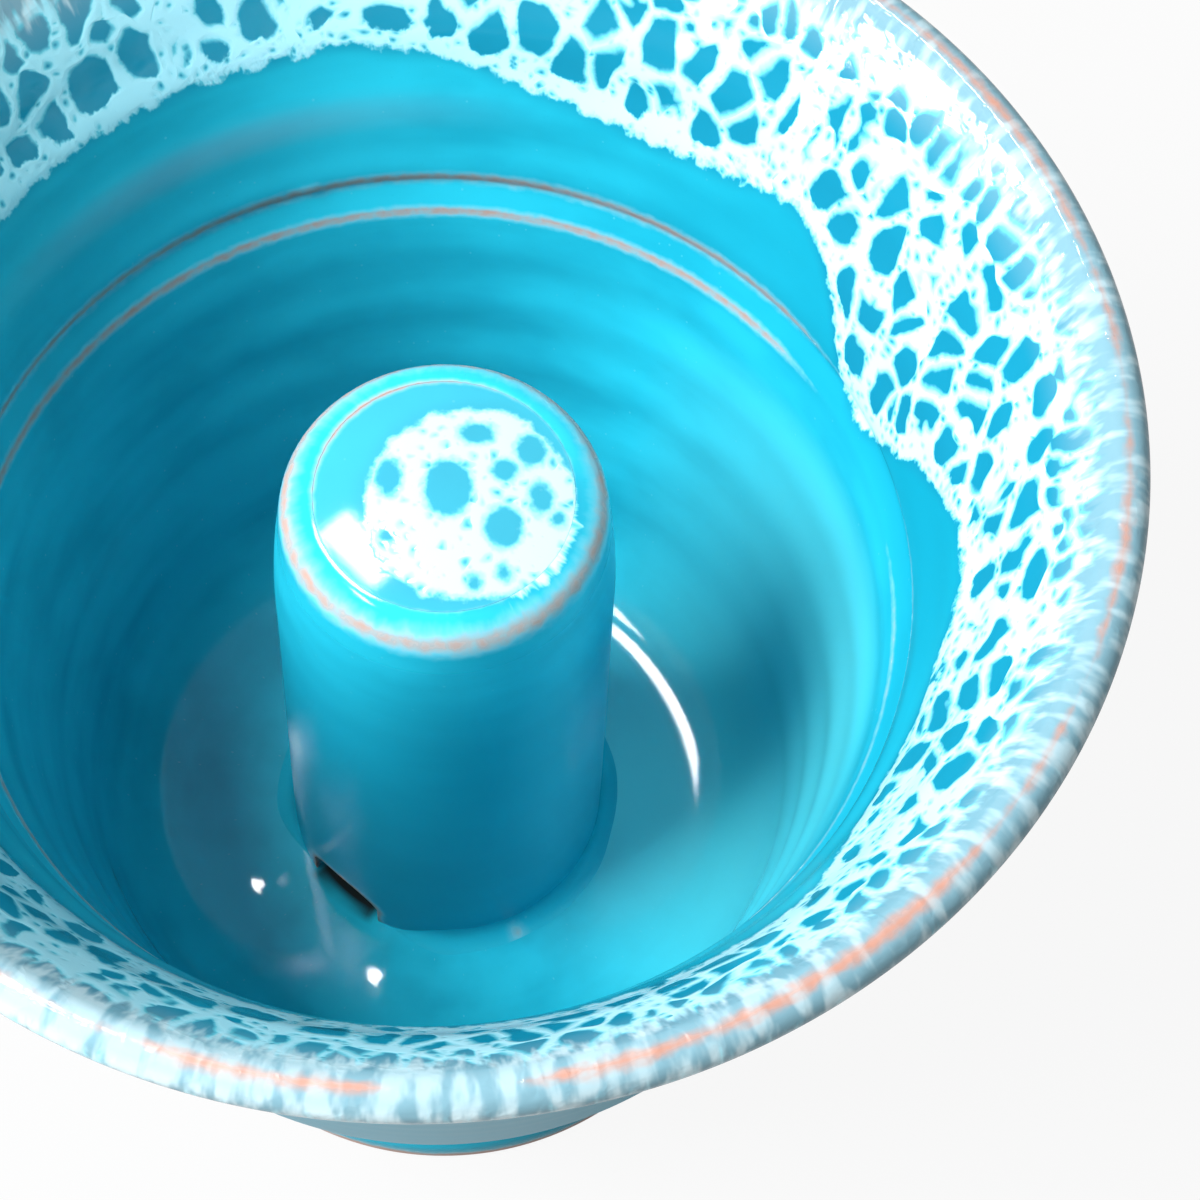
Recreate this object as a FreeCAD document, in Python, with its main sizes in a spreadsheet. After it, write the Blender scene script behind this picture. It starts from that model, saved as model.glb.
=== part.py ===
import FreeCAD, Part
import math
import os
import Sketcher

# Trick wine cup with a hidden siphon, thrown in terracotta and glazed.
# Millimetres. The cup stands on Z = 0 with its axis on Z, and the inlet port of the
# siphon faces -Y. Each piece is modelled in its own frame and placed by the sheet.

os.makedirs("parts", exist_ok=True)
doc = FreeCAD.newDocument("SiphonCup")
sheet = doc.addObject("Spreadsheet::Sheet", "Sizes")

# Driving dimensions, each with what it measures
DRIVING_SIZES = [
    ("footHeight", 15.5, "table to the underside of the bowl"),
    ("footRadius", 25.3, "outermost edge of the foot"),
    ("footNeckRadius", 19.5, "neck of the foot under the bowl"),
    ("footNeckHeight", 3.4, "straight part of the neck"),
    ("footFlareRadius", 17.0, "hollow curve of the foot's side"),
    ("footEdgeHeight", 3.6, "upright edge at the bottom of the foot"),
    ("footEdgeRounding", 1.2, "rounding of that edge"),
    ("footRingWidth", 4.2, "flat ring that stands on the table"),
    ("footInnerRadius", 24.0, "hollow curve inside the foot"),
    ("bossRadius", 13.6, "turned boss under the bowl"),
    ("bossHeight", 1.5, "depth of that boss"),
    ("bowlHeight", 69.5, "underside of the bowl to the top of the lip"),
    ("rimRadius", 47.5, "outermost point of the lip"),
    ("lipRounding", 1.6, "half the clay of the lip"),
    ("lipTilt", 35.0, "lean of the lip from upright, degrees"),
    ("flareRadius", 65.0, "inner curve from the fill line to the lip"),
    ("outerFlareRadius", 50.0, "outer curve from the fill line to the lip"),
    ("fillLineHeight", 40.0, "floor to the upper edge of the fill groove"),
    ("fillLineRadius", 34.4, "inside of the wall at that edge"),
    ("fillBandWidth", 3.1, "height of the fill groove"),
    ("fillBandTaper", 0.85, "how much narrower the wall is at its lower edge"),
    ("fillBandDepth", 0.45, "depth of the groove under its upper edge"),
    ("fillBandLowerDepth", 0.2, "depth of the groove over its lower edge"),
    ("fillBandStep", 0.35, "height over which the groove steps back at each edge"),
    ("wallAtFillLine", 4.2, "clay of the wall at the fill line"),
    ("wallBaseRadius", 28.0, "inside of the wall above the cove"),
    ("coveHeight", 9.0, "floor to the top of the cove"),
    ("coveRounding", 11.5, "cove between floor and wall"),
    ("floorRadius", 23.6, "flat of the floor"),
    ("floorThickness", 5.5, "clay of the floor"),
    ("wallAtBase", 4.8, "clay of the wall above the cove"),
    ("baseRounding", 21.0, "outer curve from the wall to the underside"),
    ("undersideRadius", 22.5, "flat of the underside"),
    ("columnRadius", 12.7, "siphon column at its base"),
    ("columnBaseHeight", 6.0, "upright part at its base"),
    ("columnWaistRadius", 12.3, "column where it starts to draw in"),
    ("columnWaistHeight", 37.0, "floor to that place"),
    ("columnNeckRadius", 11.5, "column under its shoulder"),
    ("columnNeckHeight", 49.6, "floor to the shoulder"),
    ("columnDrawRadius", 90.0, "curve of the side where it draws in"),
    ("columnHeight", 52.2, "floor to the top of the column"),
    ("shoulderRounding", 2.5, "rounding of the shoulder"),
    ("columnBore", 8.0, "radius of the hollow in the column"),
    ("columnSeatDepth", 1.0, "scored seat of the column in the floor"),
    ("portWidth", 7.0, "inlet port at the base of the column"),
    ("portHeight", 5.0, "inlet port, floor to crown"),
    ("portSpring", 2.6, "inlet port, floor to the start of its arch"),
    ("capRecessRadius", 9.05, "recess for the cap, and the incised ring"),
    ("capThickness", 3.4, "edge of the cap"),
    ("capCrown", 0.5, "how far the middle of the cap stands up"),
    ("edgeBreak", 0.35, "softened edge at the incised ring"),
    ("pipeRadius", 5.2, "standpipe, outside"),
    ("pipeBore", 3.0, "standpipe and drain, inside"),
    ("pipeSeatDepth", 1.5, "seat of the standpipe in the floor"),
    ("pipeRimRise", 0.9, "height of the rounded rim of the standpipe"),
    ("columnCoilSize", 2.4, "lute coil round the column"),
    ("pipeCoilSize", 1.8, "lute coil round the standpipe"),
    ("footCoilSize", 2.2, "lute coil round the neck of the foot"),
    ("coilEdge", 0.35, "blunt edge of a lute coil"),
    ("coilGapAngle", 42.0, "break of the column's coil at the port, degrees"),
    ("slipClearance", 0.15, "film of slip round a piece in its seat"),
]


class Size:
    """A size that knows both its number and the sheet expression behind it."""

    def __init__(self, text, value):
        self.text = text
        self.value = value

    def __add__(self, other):
        return Size(f"({self.text} + {other.text})", self.value + other.value)

    def __sub__(self, other):
        return Size(f"({self.text} - {other.text})", self.value - other.value)

    def __mul__(self, number):
        return Size(f"({self.text} * {number})", self.value * number)

    def times(self, other):
        return Size(f"({self.text} * {other.text})", self.value * other.value)

    def over(self, other):
        return Size(f"({self.text} / {other.text})", self.value / other.value)

    def sine(self):
        return Size(f"sin({self.text} * 1deg)", math.sin(math.radians(self.value)))

    def cosine(self):
        return Size(f"cos({self.text} * 1deg)", math.cos(math.radians(self.value)))


size = {}
for row, (alias, number, meaning) in enumerate(DRIVING_SIZES, start=1):
    sheet.set(f"A{row}", alias)
    sheet.set(f"B{row}", str(number))
    sheet.set(f"C{row}", meaning)
    sheet.setAlias(f"B{row}", alias)
    size[alias] = Size(f"Sizes.{alias}", number)
doc.recompute()
zero = Size("0", 0.0)


def new_body(name, height=zero):
    """A piece in its own frame, standing at a height above the table."""
    body = doc.addObject("PartDesign::Body", name)
    body.Label = name
    body.setExpression("Placement.Base.z", height.text)
    return body


def origin_feature(body, role):
    return next(f for f in body.Origin.OriginFeatures if f.Role == role)


def arc_through(start, end, radius, bulge):
    """The short arc between two points, bulging left (+1) or right (-1) of the way."""
    chord = end - start
    half = chord.Length / 2
    rise = radius - math.sqrt(max(radius * radius - half * half, 0.0))
    left = FreeCAD.Vector(-chord.y, chord.x, 0).normalize()
    middle = (start + end) / 2 + left * (bulge * rise)
    return Part.Arc(start, middle, end)


def outline_sketch(body, name, corners, arcs, plane="XZ_Plane"):
    """A closed outline. Each corner is (name, r, z), and arcs gives the radius and the
    bulge of the side that starts at a corner. Every place is bound to the sheet."""
    sketch = body.newObject("Sketcher::SketchObject", name)
    sketch.AttachmentSupport = [(origin_feature(body, plane), "")]
    sketch.MapMode = "FlatFace"
    spots = [FreeCAD.Vector(r.value, z.value, 0) for _, r, z in corners]
    ends = []
    for index, (corner, _, _) in enumerate(corners):
        start = spots[index]
        end = spots[(index + 1) % len(spots)]
        if corner in arcs:
            radius, bulge = arcs[corner]
            curve = arc_through(start, end, radius.value, bulge)
        else:
            curve = Part.LineSegment(start, end)
        number = sketch.addGeometry(curve, False)
        forward = sketch.getPoint(number, 1).distanceToPoint(start) < 1e-6
        ends.append((number, 1, 2) if forward else (number, 2, 1))
    for index, (number, _, last) in enumerate(ends):
        following, first, _ = ends[(index + 1) % len(ends)]
        sketch.addConstraint(Sketcher.Constraint("Coincident", number, last, following, first))
    for index, (corner, r, z) in enumerate(corners):
        number, first, _ = ends[index]
        if r is zero:
            sketch.addConstraint(Sketcher.Constraint("PointOnObject", number, first, -2))
        else:
            bind(sketch, Sketcher.Constraint("DistanceX", -1, 1, number, first, r.value), corner + "_r", r)
        if z is zero:
            sketch.addConstraint(Sketcher.Constraint("PointOnObject", number, first, -1))
        else:
            bind(sketch, Sketcher.Constraint("DistanceY", -1, 1, number, first, z.value), corner + "_z", z)
        if corner in arcs:
            radius, _ = arcs[corner]
            bind(sketch, Sketcher.Constraint("Radius", number, radius.value), corner + "_curve", radius)
    return sketch


def bind(sketch, constraint, name, length):
    index = sketch.addConstraint(constraint)
    sketch.renameConstraint(index, name)
    sketch.setExpression(f"Constraints.{name}", length.text)


def revolve(body, sketch, angle=None):
    """Turns an outline about the piece's own axis, all round or evenly to both sides."""
    turned = body.newObject("PartDesign::Revolution", sketch.Name + "_turned")
    turned.Profile = sketch
    turned.ReferenceAxis = (sketch, ["V_Axis"])
    turned.Angle = 360.0
    if angle is not None:
        turned.Midplane = True
        turned.setExpression("Angle", angle.text)
    sketch.Visibility = False
    return turned


def lute_coil(name, height, seat_radius, coil, angle=None, hanging=False):
    """A coil of clay thumbed into the corner between a round wall and a floor, or into
    the corner under one. A part turn is left open at the front, -Y."""
    body = new_body(name, height - coil if hanging else height)
    edge = size["coilEdge"]
    flat, far = (coil, zero) if hanging else (zero, coil)
    corners = [
        ("corner", seat_radius, flat),
        ("toe", seat_radius + coil, flat),
        ("toeEdge", seat_radius + coil, coil - edge if hanging else edge),
        ("farEdge", seat_radius + edge, far),
        ("seatFar", seat_radius, far),
    ]
    arcs = {"toeEdge": (coil - edge, -1 if hanging else 1)}
    sketch = outline_sketch(body, name + "_section", corners, arcs, "YZ_Plane")
    revolve(body, sketch, angle)
    return body


# Heights in the cup's frame that more than one piece uses
underside_height = size["footHeight"]
floor_height = underside_height + size["floorThickness"]
floor = size["floorThickness"]
weir_height = size["fillLineHeight"] - size["fillBandWidth"]


def make_bowl():
    """Flared bowl: floor with its seats, cove, wall, fill groove and round lip."""
    s = size
    body = new_body("bowl", underside_height)
    lip_radius = s["rimRadius"] - s["lipRounding"]
    lip_height = s["bowlHeight"] - s["lipRounding"]
    lean_r = s["lipRounding"].times(s["lipTilt"].cosine())
    lean_z = s["lipRounding"].times(s["lipTilt"].sine())
    fill_top = floor + s["fillLineHeight"]
    fill_bottom = floor + weir_height
    fill_bottom_radius = s["fillLineRadius"] - s["fillBandTaper"]
    seat_top = floor - s["columnSeatDepth"]
    pipe_seat = s["pipeRadius"] + s["slipClearance"]
    seat_inner = s["columnBore"] - s["slipClearance"]
    seat_outer = s["columnRadius"] + s["slipClearance"]
    corners = [
        ("drainSeat", s["pipeBore"], floor - s["pipeSeatDepth"]),
        ("pipeSeat", pipe_seat, floor - s["pipeSeatDepth"]),
        ("pipeSeatTop", pipe_seat, floor),
        ("columnSeatInnerTop", seat_inner, floor),
        ("columnSeatInner", seat_inner, seat_top),
        ("columnSeatOuter", seat_outer, seat_top),
        ("columnSeatOuterTop", seat_outer, floor),
        ("coveFoot", s["floorRadius"], floor),
        ("wallFoot", s["wallBaseRadius"], floor + s["coveHeight"]),
        ("grooveLower", fill_bottom_radius, fill_bottom),
        ("grooveFoot", fill_bottom_radius + s["fillBandLowerDepth"], fill_bottom + s["fillBandStep"]),
        ("grooveTop", s["fillLineRadius"] + s["fillBandDepth"], fill_top - s["fillBandStep"]),
        ("fillLine", s["fillLineRadius"], fill_top),
        ("lipInner", lip_radius - lean_r, lip_height + lean_z),
        ("lipCrest", lip_radius, s["bowlHeight"]),
        ("lipOutermost", s["rimRadius"], lip_height),
        ("lipOuter", lip_radius + lean_r, lip_height - lean_z),
        ("outerFillLine", s["fillLineRadius"] + s["wallAtFillLine"], fill_top),
        ("outerBase", s["wallBaseRadius"] + s["wallAtBase"], floor + s["coveHeight"]),
        ("undersideEdge", s["undersideRadius"], zero),
        ("bossTop", s["bossRadius"], zero),
        ("bossFoot", s["bossRadius"], zero - s["bossHeight"]),
        ("drainMouth", s["pipeBore"], zero - s["bossHeight"]),
    ]
    arcs = {
        "coveFoot": (s["coveRounding"], -1),
        "fillLine": (s["flareRadius"], 1),
        "lipInner": (s["lipRounding"], 1),
        "lipCrest": (s["lipRounding"], 1),
        "lipOutermost": (s["lipRounding"], 1),
        "lipOuter": (s["outerFlareRadius"], -1),
        "outerBase": (s["baseRounding"], 1),
    }
    revolve(body, outline_sketch(body, "bowl_section", corners, arcs))
    return body


def make_foot():
    """Hollow flared foot. Its neck is socketed over the boss under the bowl."""
    s = size
    body = new_body("foot")
    socket = s["bossRadius"] + s["slipClearance"]
    edge = s["footEdgeRounding"]
    corners = [
        ("ringInner", s["footRadius"] - edge - s["footRingWidth"], zero),
        ("ringOuter", s["footRadius"] - edge, zero),
        ("edgeFoot", s["footRadius"], edge),
        ("edgeTop", s["footRadius"], s["footEdgeHeight"] - edge),
        ("shoulder", s["footRadius"] - edge, s["footEdgeHeight"]),
        ("neckFoot", s["footNeckRadius"], s["footHeight"] - s["footNeckHeight"]),
        ("neckTop", s["footNeckRadius"], s["footHeight"]),
        ("socketTop", socket, s["footHeight"]),
        ("socketSide", socket, s["footHeight"] - s["footNeckHeight"]),
    ]
    arcs = {
        "ringOuter": (edge, -1),
        "edgeTop": (edge, -1),
        "shoulder": (s["footFlareRadius"], 1),
        "socketSide": (s["footInnerRadius"], -1),
    }
    revolve(body, outline_sketch(body, "foot_section", corners, arcs))
    return body


def make_column():
    """Hollow column that hides the siphon, with the inlet port cut at its base."""
    s = size
    body = new_body("siphon_column", floor_height)
    top = s["columnHeight"]
    recess = s["capRecessRadius"]
    ledge = top - s["capThickness"]
    corners = [
        ("tenonInner", s["columnBore"], zero - s["columnSeatDepth"]),
        ("tenonOuter", s["columnRadius"], zero - s["columnSeatDepth"]),
        ("baseTop", s["columnRadius"], s["columnBaseHeight"]),
        ("waist", s["columnWaistRadius"], s["columnWaistHeight"]),
        ("neck", s["columnNeckRadius"], s["columnNeckHeight"]),
        ("shoulderTop", recess + s["edgeBreak"], top),
        ("recessEdge", recess, top - s["edgeBreak"]),
        ("recessFoot", recess, ledge),
        ("ledge", s["columnBore"], ledge),
    ]
    arcs = {
        "waist": (s["columnDrawRadius"], -1),
        "neck": (s["shoulderRounding"], -1),
    }
    turned = revolve(body, outline_sketch(body, "column_section", corners, arcs))
    doc.recompute()
    cut_port(body, turned)
    return body


def cut_port(body, turned):
    """Arched inlet port through the front wall of the column, down to the floor."""
    s = size
    half = s["portWidth"] * 0.5
    rise = s["portHeight"] - s["portSpring"]
    arch_radius = (half.times(half) + rise.times(rise)).over(rise * 2)
    corners = [
        ("sillLeft", zero - half, zero),
        ("sillRight", half, zero),
        ("springRight", half, s["portSpring"]),
        ("springLeft", zero - half, s["portSpring"]),
    ]
    arcs = {"springRight": (arch_radius, -1)}
    sketch = outline_sketch(body, "port_outline", corners, arcs)
    whole = turned.Shape.Volume
    port = body.newObject("PartDesign::Pocket", "inlet_port")
    port.Profile = sketch
    port.setExpression("Length", (s["columnRadius"] * 2).text)
    port.Reversed = True
    sketch.Visibility = False
    doc.recompute()
    radius = s["columnRadius"].value
    start = FreeCAD.Vector(-0.5, -radius, floor_height.value)
    front_wall = Part.makeBox(1, radius, s["portSpring"].value, start)
    if body.Shape.Volume > whole - 1 or body.Shape.common(front_wall).Volume > 1e-6:
        raise RuntimeError("the inlet port is not cut through the front wall")


def make_cap():
    """Disc that closes the column, a little crowned, on the ledge inside its top."""
    s = size
    body = new_body("column_cap", floor_height + s["columnHeight"] - s["capThickness"])
    radius = s["capRecessRadius"] - s["slipClearance"]
    crown_top = s["capThickness"] + s["capCrown"]
    rim = radius - s["edgeBreak"]
    crown_radius = (rim.times(rim) + s["capCrown"].times(s["capCrown"])).over(s["capCrown"] * 2)
    corners = [
        ("underCentre", zero, zero),
        ("underEdge", radius, zero),
        ("edgeTop", radius, s["capThickness"] - s["edgeBreak"]),
        ("rim", rim, s["capThickness"]),
        ("crown", zero, crown_top),
    ]
    arcs = {"rim": (crown_radius, -1)}
    revolve(body, outline_sketch(body, "cap_section", corners, arcs))
    return body


def make_standpipe():
    """Inner tube over the drain. Its top is the weir, level with the fill groove."""
    s = size
    body = new_body("standpipe", floor_height)
    half = (s["pipeRadius"] - s["pipeBore"]) * 0.5
    rim_foot = weir_height - s["pipeRimRise"]
    rounding = (half.times(half) + s["pipeRimRise"].times(s["pipeRimRise"])).over(s["pipeRimRise"] * 2)
    corners = [
        ("footInner", s["pipeBore"], zero - s["pipeSeatDepth"]),
        ("footOuter", s["pipeRadius"], zero - s["pipeSeatDepth"]),
        ("sideTop", s["pipeRadius"], rim_foot),
        ("weir", s["pipeBore"] + half, weir_height),
        ("boreTop", s["pipeBore"], rim_foot),
    ]
    arcs = {"sideTop": (rounding, -1), "weir": (rounding, -1)}
    revolve(body, outline_sketch(body, "pipe_section", corners, arcs))
    return body


def make_lute_coils():
    """The coils that lute the column, the standpipe and the foot to the bowl."""
    open_turn = Size("360", 360.0) - size["coilGapAngle"]
    lute_coil("column_coil", floor_height, size["columnRadius"], size["columnCoilSize"], open_turn)
    lute_coil("standpipe_coil", floor_height, size["pipeRadius"], size["pipeCoilSize"])
    lute_coil("foot_coil", underside_height, size["footNeckRadius"], size["footCoilSize"], hanging=True)


make_foot()
make_bowl()
make_column()
make_cap()
make_standpipe()
make_lute_coils()
doc.recompute()
bodies = [o for o in doc.Objects if o.isDerivedFrom("PartDesign::Body")]
for item in doc.Objects:
    if "Invalid" in item.State or "Error" in item.State:
        raise RuntimeError(f"{item.Name} did not build: {item.State}")
for body in bodies:
    if body.Shape.isNull() or not body.Shape.isValid() or len(body.Shape.Solids) != 1:
        raise RuntimeError(f"{body.Label} is not one valid solid")

for body in bodies:
    body.Shape.exportStep(f"parts/{body.Label}.step")
    box = body.Shape.BoundBox
    print(f"{body.Label}: volume {body.Shape.Volume:.0f} mm3, "
          f"radius {box.XMax:.2f}, from {box.ZMin:.2f} to {box.ZMax:.2f}")
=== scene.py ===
import math
import bmesh
import bpy
from mathutils import Matrix, Vector, noise


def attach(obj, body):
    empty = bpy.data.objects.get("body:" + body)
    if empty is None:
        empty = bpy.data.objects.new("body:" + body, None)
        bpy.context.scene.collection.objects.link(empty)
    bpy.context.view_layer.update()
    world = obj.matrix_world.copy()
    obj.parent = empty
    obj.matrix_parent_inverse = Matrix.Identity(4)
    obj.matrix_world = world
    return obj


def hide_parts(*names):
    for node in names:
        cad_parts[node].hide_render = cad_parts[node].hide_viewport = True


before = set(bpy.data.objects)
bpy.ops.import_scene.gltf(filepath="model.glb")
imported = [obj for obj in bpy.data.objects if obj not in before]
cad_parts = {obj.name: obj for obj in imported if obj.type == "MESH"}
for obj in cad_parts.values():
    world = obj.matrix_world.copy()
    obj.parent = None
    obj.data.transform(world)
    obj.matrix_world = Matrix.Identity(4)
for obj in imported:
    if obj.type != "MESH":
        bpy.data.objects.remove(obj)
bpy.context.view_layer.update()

# A trick wine cup: thrown terracotta under a turquoise glaze, with a second, white glaze
# poured round the lip that broke up into lace. Lengths are in millimetres until a piece
# is finished. Heights are above the table, and the inlet port faces -Y.
mm = 0.001
floorHeight = 21.0
columnTop = 73.2
capRadius = 9.0
recessRadius = 9.02      # of the hollow in the column that the cap lies in
recessFloor = 69.8


# Outlines and turned shapes

drawing = {
    "arcTurn": 8,        # the most degrees that one edge of an arc spans
    "shortSide": 6,      # a straight side shorter than this is drawn fine
    "merge": 0.001,
    "spunMerge": 0.002,
    "seamReach": 0.03,   # how far from the seam round the cap its crisp corners lie, at most
    "seamDepth": 0.2,    # and how far below the top of the column
}


def drawOutline(bm, corners, coarse, fine):
    # a closed outline in the XZ plane. A corner is (r, z) at the end of a straight side,
    # or (r, z, radius, turn) at the end of an arc that turns right (1) or left (-1)
    last = bm.verts.new((corners[0][0], 0, corners[0][1]))
    for corner in corners[1:] + corners[:1]:
        end = Vector((corner[0], 0, corner[1]))
        way = end - last.co
        if len(corner) == 4:
            radius, turn = corner[2:]
            left = Vector((-way.z, 0, way.x)).normalized()
            reach = math.sqrt(radius ** 2 - (way.length / 2) ** 2)
            centre = (last.co + end) / 2 - left * turn * reach
            angle = 2 * math.asin(way.length / 2 / radius)
            steps = max(round(radius * angle / coarse),
                        round(math.degrees(angle) / drawing["arcTurn"]))
            drawn = bmesh.ops.spin(bm, geom=[last], cent=centre, axis=(0, 1, 0),
                                   angle=turn * angle, steps=steps)
        else:
            edge = fine if way.length < drawing["shortSide"] else coarse
            steps = max(round(way.length / edge), 1)
            drawn = bmesh.ops.spin(bm, geom=[last], cent=(0, 0, 0), axis=(0, 1, 0),
                                   dvec=way / steps, angle=0, steps=steps)
        last = drawn["geom_last"][0]
    bmesh.ops.remove_doubles(bm, verts=bm.verts, dist=drawing["merge"])


def atSeam(vert):
    # the corners that meet where the cap lies in the column stay crisp
    away = abs(vert.co.xy.length - (capRadius + recessRadius) / 2)
    return away < drawing["seamReach"] and vert.co.z > columnTop - drawing["seamDepth"]


def softenOutline(bm, times):
    # glaze rounds every corner a little
    verts = [v for v in bm.verts if v.co.x > 0.01 and not atSeam(v)]
    for _ in range(times):
        bmesh.ops.smooth_vert(bm, verts=verts, factor=0.5, use_axis_x=True,
                              use_axis_y=True, use_axis_z=True)


def spinRound(bm, steps):
    # a sixteenth of the turn is spun, then doubled four times
    angle = math.tau / 16
    bmesh.ops.spin(bm, geom=bm.verts[:] + bm.edges[:], cent=(0, 0, 0), axis=(0, 0, 1),
                   angle=angle, steps=steps // 16)
    for _ in range(4):
        geom = bm.verts[:] + bm.edges[:] + bm.faces[:]
        twin = bmesh.ops.duplicate(bm, geom=geom)["geom"]
        verts = [g for g in twin if isinstance(g, bmesh.types.BMVert)]
        bmesh.ops.rotate(bm, verts=verts, cent=(0, 0, 0), matrix=Matrix.Rotation(angle, 3, "Z"))
        angle *= 2
    bmesh.ops.remove_doubles(bm, verts=bm.verts, dist=drawing["spunMerge"])
    for edge in bm.edges:
        edge.smooth = not all(atSeam(v) for v in edge.verts)


# What the glaze does at a point, in mm, with the plain values of a point it leaves alone
# lace: how deep the point lies inside the poured white glaze
# crest: how far it is from the crest of the lip
# bare: how far it is from an edge where the glaze breaks to the clay, in half widths
# open: how deep it lies inside a round gap in the white glaze
# the tone mark: from -1, deeper where the turquoise pooled and where shade is painted, to 1, paler
# where it lies thin and where light is painted
# shade: painted shade, 1 in the throat of the port, which is painted near black
# veil: 1 where much white was drawn over the lip; the white's painted shade: 1 on the walls that
# face away from the light, where the white is painted milky
# satin: 1 where the glaze dried duller; the bloom: how much brown and painted shade darken the
# turquoise
glazeMarks = {"lace": -5.0, "crest": 50.0, "bare": 9.0, "open": -5.0, "thin": 0.0, "shade": 0.0,
              "veil": 0.0, "weak": 0.0, "satin": 0.0, "bloom": 0.0}


def newPiece():
    bm = bmesh.new()
    # flow: where a point lies on the glaze without a seam, its Z down the slope
    bm.verts.layers.float_vector.new("flow")
    for name in glazeMarks:
        bm.verts.layers.float.new(name)
    return bm


def layGlaze(bm, describe):
    layers = bm.verts.layers
    for vert in bm.verts:
        place, marks = describe(vert)
        vert[layers.float_vector["flow"]] = place
        for name, plain in glazeMarks.items():
            vert[layers.float[name]] = marks.get(name, plain)


def roundFlow(vert, radius, slope):
    around = math.atan2(vert.co.y, vert.co.x)
    return radius * math.cos(around), radius * math.sin(around), slope


def degreesOf(vert):
    return math.degrees(math.atan2(vert.co.y, vert.co.x))


def hump(degrees, middle, half):
    # 1 at the middle, 0 half a width away on either side
    away = abs((degrees - middle + 180) % 360 - 180)
    return math.cos(math.pi / 2 * away / half) ** 2 if away < half else 0.0


def humps(degrees, rows):
    # the sizes of several humps at a place, each from (size, middle, half width)
    return [size * hump(degrees, middle, half) for size, middle, half in rows]


def smooth(value, low, high):
    # 0 at the first bound and beyond it, 1 at the second, which may be the smaller
    share = min(max((value - low) / (high - low), 0), 1)
    return share * share * (3 - 2 * share)


def ripple(vert, frequency, seed, rise=0.0):
    # smooth noise round the axis, -1 to 1, the same at both ends of the turn
    around = math.atan2(vert.co.y, vert.co.x)
    place = Vector((math.cos(around), math.sin(around), 0)) * frequency
    return noise.noise(place + Vector((seed, -seed, seed + rise * vert.co.z)))


def finishPiece(bm, name, materials, nodes):
    bmesh.ops.recalc_face_normals(bm, faces=bm.faces)
    bmesh.ops.scale(bm, vec=(mm, mm, mm), verts=bm.verts)
    for face in bm.faces:
        face.smooth = True
    mesh = bpy.data.meshes.new(name)
    bm.to_mesh(mesh)
    bm.free()
    piece = bpy.data.objects.new(name, mesh)
    bpy.context.scene.collection.objects.link(piece)
    for material in materials:
        mesh.materials.append(material)
    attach(piece, "root")
    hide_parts(*nodes)
    print("made", name, "with", len(mesh.polygons), "faces")
    return piece


# Node helpers

def addNode(tree, kind, sockets=None, **settings):
    node = tree.nodes.new("ShaderNode" + kind)
    for name, value in settings.items():
        setattr(node, name, value)
    for socket, value in (sockets or {}).items():
        if isinstance(value, bpy.types.NodeSocket):
            tree.links.new(value, node.inputs[socket])
        else:
            node.inputs[socket].default_value = value
    return node


def calc(tree, operation, first, second=0.0, third=0.0):
    node = addNode(tree, "Math", {0: first, 1: second, 2: third}, operation=operation)
    return node.outputs[0]


def step(tree, value, low, high):
    # 0 at the first bound and beyond it, 1 at the second, which may be the smaller
    node = addNode(tree, "MapRange", {"Value": value, "From Min": low, "From Max": high},
                   interpolation_type="SMOOTHSTEP")
    return node.outputs[0]


def stepTo(tree, value, low, high, size):
    # the same, up to a size of its own
    return calc(tree, "MULTIPLY", step(tree, value, low, high), size)


def mixTone(tree, share, first, second):
    node = addNode(tree, "Mix", {0: share, 6: first, 7: second}, data_type="RGBA")
    return node.outputs[2]


def mixValue(tree, share, first, second):
    node = addNode(tree, "Mix", {0: share, 2: first, 3: second}, data_type="FLOAT")
    return node.outputs[0]


def stretched(tree, place, scale):
    return addNode(tree, "VectorMath", {0: place, 1: scale}, operation="MULTIPLY").outputs[0]


def shifted(tree, place, offset):
    return addNode(tree, "VectorMath", {0: place, 1: offset}, operation="ADD").outputs[0]


def noiseAt(tree, place, scale, detail=2.0, roughness=0.5, output="Fac"):
    node = addNode(tree, "TexNoise", {"Vector": stretched(tree, place, scale), "Scale": 1.0,
                                      "Detail": detail, "Roughness": roughness})
    return node.outputs[output]


def swing(tree, value, size):
    # noise of 0 to 1 turned into a shift of about -size to size
    return calc(tree, "MULTIPLY_ADD", value, 2 * size, -size)


def wander(tree, place, frequency, size, detail=1.0):
    # moves a place about by smooth noise
    scale = (frequency, frequency, frequency)
    way = shifted(tree, noiseAt(tree, place, scale, detail, output="Color"), (-0.5, -0.5, -0.5))
    return shifted(tree, place, stretched(tree, way, (2 * size, 2 * size, 2 * size)))


def attribute(tree, name, output="Fac"):
    return addNode(tree, "Attribute", attribute_name=name).outputs[output]


def newMaterial(name):
    material = bpy.data.materials.new(name)
    material.use_nodes = True
    material.node_tree.nodes.clear()
    return material, material.node_tree


# Finishes

# noises over the glaze: how often they change per mm (round the cup twice, down the slope),
# detail and roughness
patterns = {
    "cloud": ((0.07, 0.07, 0.16), 3.0, 0.5),
    "rings": ((0.03, 0.03, 0.55), 2.0, 0.5),
    "grain": ((4.0, 4.0, 4.0), 4.0, 0.7),
    "fringe": ((0.65, 0.65, 0.50), 3.0, 0.6),
    "shiver": ((1.3, 1.3, 1.3), 2.0, 0.5),
    "patch": ((0.22, 0.22, 0.14), 1.0, 0.5),
    "foam": ((0.26, 0.26, 0.18), 1.0, 0.5),
    "drawn": ((1.5, 1.5, 0.30), 2.0, 0.5),
    "streaks": ((0.9, 0.9, 0.28), 2.5, 0.5),
    "crumbs": ((0.9, 0.9, 1.2), 2.0, 0.5),
}

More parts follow.
